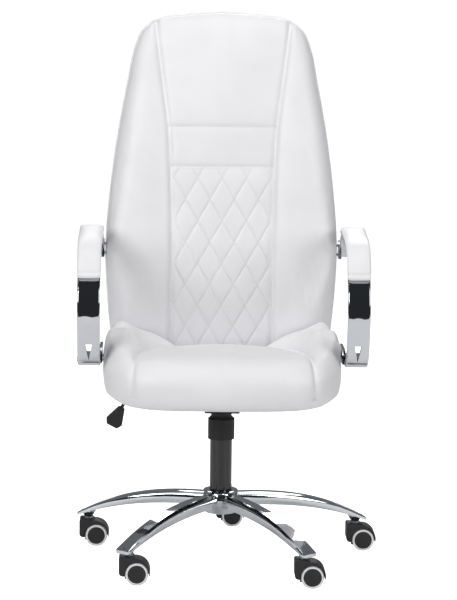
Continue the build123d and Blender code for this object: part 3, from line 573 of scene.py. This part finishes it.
# %% The back's lines
back_bottom = 440
back_edge = smooth_path([
    (252, 440), (264, 560), (269, 680), (258, 830), (241, 956), (222, 1060),
    (203, 1149), (189, 1181), (160, 1206), (80, 1222), (0, 1228),
], 90)
back_front = through([(440, 154), (625, 138), (956, 182), (1228, 262)])
back_rear = through([(440, 232), (680, 236), (956, 263), (1228, 316)])
seam_half = through([
    (440, 118), (500, 118), (685, 114), (770, 115), (878, 119), (966, 124), (1070, 138),
    (1207, 157), (1228, 160),
])
wing_rise = through([
    (440, 0), (500, 5), (600, 20), (680, 19), (800, 13), (950, 9), (1100, 7), (1228, 2),
])
edge_roll = through([
    (440, 78), (520, 66), (600, 38), (645, 22), (690, 18), (740, 20), (900, 34), (1100, 40),
    (1228, 40),
])
crown = through([(440, 0), (520, 3), (640, 7), (800, 5), (1000, 6), (1150, 7), (1228, 3)])
level_seams = (966, 876)
rear_panel_depth = 20
cover_room = 3                 # left for the cover to swell into


def inset(line, amount):
    """An open line moved to its left-hand side."""
    run = np.gradient(line, axis=0)
    run /= np.linalg.norm(run, axis=1)[:, None]
    return line + amount * np.stack((-run[:, 1], run[:, 0]), axis=1)


back_side = inset(back_edge, cover_room)
back_side[-1, 0] = 0
back_foot = np.array([(x, back_bottom + 2.0) for x in np.linspace(0, back_side[0, 0], 24)[:-1]])
back_outline = mirrored(np.vstack((back_foot, back_side)))
both_sides = np.vstack((back_side, (back_side * [-1, 1])[::-1][1:]))


def back_face(flat):
    """The front face's y over (x, z), without its rolled edge."""
    x, z = np.abs(flat[:, 0]), flat[:, 1]
    half = seam_half(z)
    edge = np.interp(z, back_side[:, 1], back_side[:, 0])
    across = np.clip((x - half) / np.maximum(edge - half, 1), 0, 1)
    wing = wing_rise(z) * np.sin(pi / 2 * np.clip(across / 0.45, 0, 1)) * (1 - 0.35 * across ** 2)
    middle = crown(z) * np.clip(1 - (x / half) ** 2, 0, 1)
    return back_front(z) + cover_room - wing - middle


def back_seam_plane(flat):
    return back_rear(flat[:, 1]) - rear_panel_depth - 14


def back_near(flat):
    lift = roll(distance_to(both_sides, flat), edge_roll(flat[:, 1]))
    lift *= roll(flat[:, 1] - back_bottom - 2, 14)
    plane = back_seam_plane(flat)
    return plane + (back_face(flat) - plane) * lift


def back_far(flat):
    lift = roll(distance_to(both_sides, flat), 12)
    return back_seam_plane(flat) + 13.5 * lift


# %% The back cushion
def held_on_back(points):
    x, y, z = points.T
    on_seam = np.abs(np.abs(x) - seam_half(z)) < 4
    on_level = (np.abs(x) < seam_half(z)) & (np.abs(z[:, None] - level_seams).min(1) < 3.5)
    behind = y > back_seam_plane(points[:, [0, 2]]) - 2
    return on_seam | on_level | behind | (z < 470)


back_centre = np.array([0.0, 800.0])
back_cushion = pillow("back_cover", back_outline, back_centre, back_near, back_far, upright=True)
soften(back_cushion, held_on_back, 7 * mm)

# %% [markdown]
# The quilting lines cross where both slopes pass through a half step, 56 mm across and
# 98 mm up. The cover is pulled down along each line and puffs up between them.

# %% Seams and quilting of the back
diamond_width = 56
diamond_height = 98
diamond_start = 703


def quilt_depth(x, z):
    rising = x / diamond_width + (z - diamond_start) / diamond_height
    falling = x / diamond_width - (z - diamond_start) / diamond_height
    puff = np.sqrt(np.abs(np.cos(pi * rising) * np.cos(pi * falling)))
    lines = np.minimum(np.abs(np.cos(pi * rising)), np.abs(np.cos(pi * falling)))
    return 2.4 * (1 - puff) + valley(lines, 1.6, 0.13)


def back_pattern(points, normals):
    x, _, z = points.T
    half = seam_half(z)
    facing = normals[:, 1] < -0.2
    middle = np.abs(x) < half
    depth = valley(np.abs(x) - half, 5.0, 7.0) + valley(np.abs(x) - half, 3.0, 3.2)
    for height in level_seams:
        depth += np.where(middle, valley(z - height, 1.5, 8.0) + valley(z - height, 2.0, 3.0), 0)
    quilted = middle & (z < level_seams[1])
    fade = np.clip((half - np.abs(x)) / 6, 0, 1) * np.clip((level_seams[1] - z) / 8, 0, 1)
    depth += np.where(quilted, quilt_depth(x, z) * fade, 0)
    return np.where(facing, depth, 0)


press(back_cushion, back_pattern)
upholster(back_cushion, "back_cushion")

# %% [markdown]
# ## The rear panel
# The back of the backrest is a thin padded panel, sewn to the front cushion along a piped
# seam. Piping is a cord in a folded strip of the same leatherette, so it is a plain tube
# that follows the outline.

# %% The rear panel and its piping
def rear_near(flat):
    return back_seam_plane(flat) + 14.5 - 1.0 * (1 - roll(distance_to(both_sides, flat), 8))


def rear_far(flat):
    lift = roll(distance_to(both_sides, flat), 20) * roll(flat[:, 1] - back_bottom - 2, 16)
    return back_seam_plane(flat) + 13.5 + (rear_panel_depth - 3) * lift


def held_on_rear(points):
    return points[:, 1] < back_rear(points[:, 2]) - 12


rear_panel = pillow("back_rear_cover", back_outline, back_centre, rear_near, rear_far, upright=True)
soften(rear_panel, held_on_rear, 3 * mm)
upholster(rear_panel, "back_rear_panel")


def tube_along(name, route, radius, across, sides=10):
    """A mesh tube along points, in metres. The route never runs the way that across does."""
    route = np.array(route)
    run = np.gradient(route, axis=0)
    run /= np.linalg.norm(run, axis=1)[:, None]
    side = np.cross(run, across)
    side /= np.linalg.norm(side, axis=1)[:, None]
    top = np.cross(side, run)
    turns = np.arange(sides) * 2 * pi / sides
    rings = [route + radius * (cos(t) * side + sin(t) * top) for t in turns]
    points = np.stack(rings, axis=1).reshape(-1, 3)
    faces = []
    for ring in range(len(route) - 1):
        low, high = ring * sides, (ring + 1) * sides
        for k in range(sides):
            after = (k + 1) % sides
            faces.append((low + k, low + after, high + after, high + k))
    faces.append(tuple(range(sides - 1, -1, -1)))
    faces.append(tuple((len(route) - 1) * sides + k for k in range(sides)))
    thing = new_mesh(name, points, faces)
    for face in thing.data.polygons:
        face.use_smooth = True
    return thing


piping_radius = 3.4 * mm
piping_behind_seam = 13
piping_y = back_seam_plane(both_sides) + piping_behind_seam
piping_line = np.column_stack((both_sides[:, 0], piping_y, both_sides[:, 1])) * mm
piping = tube_along("back_piping", piping_line, piping_radius, across=(0.0, 1.0, 0.02))
dress(piping, white_leatherette)
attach(piping, "seat")
print("piping:", len(piping.data.polygons), "faces")

# %% [markdown]
# ## The seat
# The seat is deepest in foam at its front edge, which rolls over and under the board in a
# waterfall. A seam on each side parts the middle from a bolster. The bolsters rise towards
# the hips, dip, and rise again as a second, smaller lump against the back.

# %% The seat's lines
seat_rear = 148
seat_edge = smooth_path([
    (0, -262), (70, -260), (140, -253), (190, -236), (228, -204), (252, -160), (264, -105),
    (267, -40), (267, 60), (267, 148),
], 90)
seat_top = through([(-262, 484), (-205, 486), (-120, 484), (0, 474), (80, 469), (148, 466)])
seat_seam = through([
    (-262, 206), (-205, 197), (-50, 181), (60, 155), (100, 132), (125, 104), (148, 96),
])
bolster_rise = through([
    (-262, 0), (-205, 3), (-120, 20), (-40, 40), (20, 52), (52, 42), (80, 40), (148, 34),
])
lump_rise = through([(-262, 0), (20, 0), (52, 8), (96, 25), (130, 20), (148, 12)])
seat_roll = through([(-262, 66), (-150, 44), (-95, 24), (78, 24), (108, 38), (148, 44)])
seat_lip = through([(-262, 374), (-180, 377), (-90, 389), (-40, 391), (90, 391), (148, 396)])
seat_under_roll = through([(-262, 30), (-150, 28), (-98, 8), (0, 7), (148, 7)])
seat_seam_height = 432
board_face = 407

seat_side = inset(seat_edge, cover_room)
seat_side[0, 0] = 0
seat_side[-1] = (seat_edge[-1, 0] - cover_room, seat_rear)
seat_back_line = np.array([(x, seat_rear) for x in np.linspace(seat_side[-1, 0], 0, 24)[1:]])
seat_outline = mirrored(np.vstack((seat_side, seat_back_line)))
seat_sides = np.vstack(((seat_side * [-1, 1])[::-1], seat_side[1:]))


def seat_face(flat):
    x, y = np.abs(flat[:, 0]), flat[:, 1]
    half = seat_seam(y)
    across = np.clip((x - half) / (267 - half), 0, 1)
    bolster = bolster_rise(y) * np.sin(pi / 2 * np.clip(across / 0.5, 0, 1)) ** 1.2
    lump = lump_rise(y) * np.exp(-((x - 236) / 40) ** 2)
    dish = 5 * np.clip(1 - (x / half) ** 2, 0, 1) * roll(y + 262, 200)
    return seat_top(y) + bolster + lump + dish - cover_room


def seat_near(flat):
    y = flat[:, 1]
    lift = roll(distance_to(seat_sides, flat), seat_roll(y)) * roll(seat_rear - y, 12)
    return seat_seam_height + (seat_face(flat) - seat_seam_height) * lift


def seat_far(flat):
    away = distance_to(seat_sides, flat)
    lift = roll(away, seat_under_roll(flat[:, 1])) * roll(seat_rear - flat[:, 1], 10)
    tuck = np.clip((away - 32) / 26, 0, 1)
    lip = seat_lip(flat[:, 1])
    low = lip + (board_face - lip) * tuck * tuck * (3 - 2 * tuck)
    return seat_seam_height + (low - seat_seam_height) * lift


# %% The seat cushion
def held_on_seat(points):
    x, y, z = points.T
    on_seam = (np.abs(np.abs(x) - seat_seam(y)) < 4) & (z > 440)
    below = (z < 410) & (distance_to(seat_sides, points[:, :2]) > 25)
    return on_seam | below | (y > seat_rear - 8)


seat_centre = np.array([0.0, -40.0])
seat_cushion = pillow("seat_cover", seat_outline, seat_centre, seat_near, seat_far, upright=False)
soften(seat_cushion, held_on_seat, 7 * mm)


def seat_pattern(points, normals):
    x, y, z = points.T
    away = (np.abs(x) - seat_seam(y)) * 0.95
    depth = valley(away, 3.0, 8.0) + valley(away, 2.6, 3.2)
    seen = (z > 400) & (normals[:, 2] > -0.5)
    crease = np.clip((np.abs(x) - 190) / 30, 0, 1)
    crease *= valley(y - 56 - (np.abs(x) - 240) * 0.25, 5.0, 9.0)
    crease *= np.clip((z - 480) / 12, 0, 1)
    return np.where(seen, depth + crease, 0)


press(seat_cushion, seat_pattern)
upholster(seat_cushion, "seat_cushion")

# %% [markdown]
# ## The arm pads
# Each pad is a strip of foam under the same leatherette, glued to the chrome band. The CAD
# solid already has its bend, so its mesh is copied, remeshed and blown up where the band
# doesn't hold it. Near the front end the cover is folded under and stitched, which shows
# as one line across the pad.

# %% Arm pads
for side in ("left", "right"):
    node = frame["nodes"][f"arm_pad_{side}"]
    graph = bpy.context.evaluated_depsgraph_get()
    band = BVHTree.FromObject(frame["nodes"][f"arm_frame_{side}"], graph)
    pad = bpy.data.objects.new(f"arm_pad_cover_{side}", node.data.copy())
    scene.collection.objects.link(pad)

    def held_on_band(points):
        return np.array([band.find_nearest(Vector(p) * mm)[3] < 3 * mm for p in points])

    soften(pad, held_on_band, 3.5 * mm, voxel=4 * mm, rounding=40)
    front_low = points_of(pad)[:, 2].min() / mm

    def pad_pattern(points, normals):
        return valley(points[:, 2] - front_low - 13, 1.8, 3.0) * (points[:, 1] < 0)

    press(pad, pad_pattern)
    upholster(pad, f"arm_pad_{side}")

# %% [markdown]
# ## The tilt spring
# The spring between the mechanism and the seat plate shortens as the seat leans back.
# A solid can't do that, so it is wound here as one round wire along a helix.

# %% Tilt spring
wire_width, wire_turns, kept_height = 3.6 * mm, 6, 0.47
spring_low, spring_high = (np.array(corner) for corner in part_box("tilt_spring"))
turns = np.linspace(0, wire_turns, 24 * wire_turns + 1)
coil_radius = (spring_high[0] - spring_low[0] - wire_width) / 2
coil_middle = (spring_low + spring_high) / 2
coil = np.column_stack((
    coil_middle[0] + coil_radius * np.cos(2 * pi * turns),
    coil_middle[1] + coil_radius * np.sin(2 * pi * turns),
    np.interp(
        turns, (0, wire_turns), (spring_low[2] + wire_width / 2, spring_high[2] - wire_width / 2)
    ),
))
spring = tube_along("tilt_spring_coil", coil, wire_width / 2, across=(0, 0, 1))
dress(spring, finish_of_slot[slot_of_node["tilt_spring"]])
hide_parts("tilt_spring")
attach(spring, "mechanism")
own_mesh(spring)
spring_height = (spring_high[2] - spring_low[2]) / mm
print("spring:", wire_turns, "turns,", round(spring_height, 1), "mm tall at rest")

# %% [markdown]
# ## The dust cover
# Under the seat a black non-woven cloth is stapled to the board, around the mechanism's
# plate. It is thin and tight, with a soft fibrous look.

# %% The dust cover
felt, tree, shader = new_material("black_nonwoven_polypropylene")
spot = put(tree, "ShaderNodeTexCoord").outputs["Object"]
tangle = {"Vector": spot, "Scale": 1 / (1.2 * mm), "Detail": 5.0}
fibres = put(tree, "ShaderNodeTexNoise", tangle).outputs[0]
tones = {0: fibres, 6: linear("#0E0E0F"), 7: linear("#232325")}
mix = put(tree, "ShaderNodeMix", tones, data_type="RGBA")
bump = put(tree, "ShaderNodeBump", {"Height": fibres, "Strength": 0.4, "Distance": 0.2 * mm})
tree.links.new(mix.outputs[2], shader.inputs["Base Color"])
tree.links.new(bump.outputs[0], shader.inputs["Normal"])
shader.inputs["Roughness"].default_value = 0.85

# The cover leaves out the mechanism's plate, and it is open behind it, so it is a strip
# that runs from one rear corner round the front to the other.
cover_margin = 40
cover_rear = 104
plate_gap = 4
plate_low, plate_high = (np.array(corner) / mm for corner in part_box("tilt_seat_plate"))
outer = inset(seat_edge, cover_margin)
outer[0, 0] = 0
outer = np.vstack((outer[outer[:, 1] < cover_rear - 4], [(outer[:, 0].max(), cover_rear)]))
hole_x, hole_y = plate_high[0] + plate_gap, plate_low[1] - plate_gap
corners = np.array([(0, hole_y), (hole_x, hole_y), (hole_x, cover_rear)])
reach = np.concatenate(([0], np.cumsum(np.linalg.norm(np.diff(corners, axis=0), axis=1))))
marks = np.linspace(0, reach[-1], len(outer))
inner = np.stack([np.interp(marks, reach, corners[:, k]) for k in (0, 1)], axis=1)
outer = np.vstack(((outer * [-1, 1])[::-1], outer[1:]))
inner = np.vstack(((inner * [-1, 1])[::-1], inner[1:]))
sheet_low, sheet_high = 403.4, 404.6
rim = np.vstack([
    np.column_stack((loop, np.full(len(loop), height)))
    for height in (sheet_low, sheet_high) for loop in (outer, inner)
])
count = len(outer)
faces = []
for k in range(count - 1):
    after = k + 1
    faces.append((k, count + k, count + after, after))
    faces.append((2 * count + k, 2 * count + after, 3 * count + after, 3 * count + k))
    faces.append((k, after, 2 * count + after, 2 * count + k))
    faces.append((count + k, 3 * count + k, 3 * count + after, count + after))
faces.append((0, 2 * count, 3 * count, count))
faces.append((count - 1, 2 * count - 1, 4 * count - 1, 3 * count - 1))
dust_cover = new_mesh("seat_dust_cover", rim * mm, faces)
dress(dust_cover, felt)
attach(dust_cover, "seat")

# %% [markdown]
# ## Stitches
# The seams are topstitched with a thick polyester thread, one row beside each seam, and
# the diamonds are quilted with the same thread. Each stitch is a small spindle laid on the
# cover, 5 mm from the next. One mesh holds them all: a thousand objects would be slow.

# %% Stitches
thread, tree, shader = new_material("polyester_thread")
spot = put(tree, "ShaderNodeTexCoord").outputs["Object"]
twist = {"Vector": spot, "Scale": 1 / (0.6 * mm), "Detail": 2.0}
ply = put(tree, "ShaderNodeTexNoise", twist).outputs[0]
tones = {0: ply, 6: linear("#D2D1D4"), 7: linear("#E6E5E7")}
mix = put(tree, "ShaderNodeMix", tones, data_type="RGBA")
tree.links.new(mix.outputs[2], shader.inputs["Base Color"])
shader.inputs["Roughness"].default_value = 0.5

stitch_pitch = 5.0
stitch_length = 3.8 * mm
stitch_radius = 0.5 * mm


def laid_on(cover, line, start, toward):
    """Points of a flat line, dropped onto a cover: start() places them in front of it."""
    reach = np.concatenate(([0], np.cumsum(np.linalg.norm(np.diff(line, axis=0), axis=1))))
    marks = np.arange(stitch_pitch / 2, reach[-1], stitch_pitch)
    spots = np.stack([np.interp(marks, reach, line[:, k]) for k in (0, 1)], axis=1)
    hits = [cover.ray_cast(Vector(start(*spot)) * mm, Vector(toward)) for spot in spots]
    return [(hit[0], hit[1]) for hit in hits if hit[0] is not None]


def spindle(place, run, normal, points, faces):
    side = run.cross(normal).normalized()
    base = len(points)
    for along, girth in ((-0.5, 0.3), (-0.3, 1.0), (0.3, 1.0), (0.5, 0.3)):
        for k in range(6):
            turn = k * pi / 3
            ring = (side * cos(turn) + normal * sin(turn)) * stitch_radius * girth
            points.append(place + run * along * stitch_length + ring)
    for ring in range(3):
        for k in range(6):
            low = base + 6 * ring
            after = (k + 1) % 6
            faces.append((low + k, low + after, low + 6 + after, low + 6 + k))
    faces.append(tuple(base + k for k in range(5, -1, -1)))
    faces.append(tuple(base + 18 + k for k in range(6)))


def stitch(name, thing, lines, start, toward):
    cover = BVHTree.FromObject(thing, bpy.context.evaluated_depsgraph_get())
    points, faces = [], []
    for line in lines:
        row = laid_on(cover, np.array(line, dtype=float), start, toward)
        for (place, normal), (following, _) in zip(row[:-1], row[1:]):
            run = following - place
            if run.length < 2.5 * stitch_pitch * mm:
                spindle(place + normal * 0.2 * mm, run.normalized(), normal, points, faces)
    sewn = new_mesh(name, points, faces)
    dress(sewn, thread)
    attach(sewn, "seat")
    print(name, len(faces) // 20, "stitches")


def diamond_lines():
    """The quilting lines as (x, z), cut to the middle of the back."""
    lines = []
    low, high = 455, level_seams[1] - 4
    heights = np.linspace(low, high, 120)
    for slope in (-1, 1):
        for step in np.arange(-9.5, 10.5):
            x = (step - slope * (heights - diamond_start) / diamond_height) * diamond_width
            inside = np.abs(x) < seam_half(heights) - 3
            if inside.sum() > 3:
                lines.append(np.stack((x, heights), axis=1)[inside])
    return lines


heights = np.linspace(462, 1196, 160)
back_lines = diamond_lines()
for side in (-1, 1):
    back_lines.append(np.stack((side * (seam_half(heights) + 6.5), heights), axis=1))
for height in level_seams:
    reach = float(seam_half(np.array([height]))[0]) - 5
    back_lines.append([(-reach, height - 5), (reach, height - 5)])
stitch("back_stitches", back_cushion, back_lines, lambda x, z: (x, -200, z), (0, 1, 0))

depths = np.linspace(-240, 96, 90)
seat_lines = [np.stack((side * (seat_seam(depths) + 6), depths), axis=1) for side in (-1, 1)]
stitch("seat_stitches", seat_cushion, seat_lines, lambda x, y: (x, y, 800), (0, 0, -1))
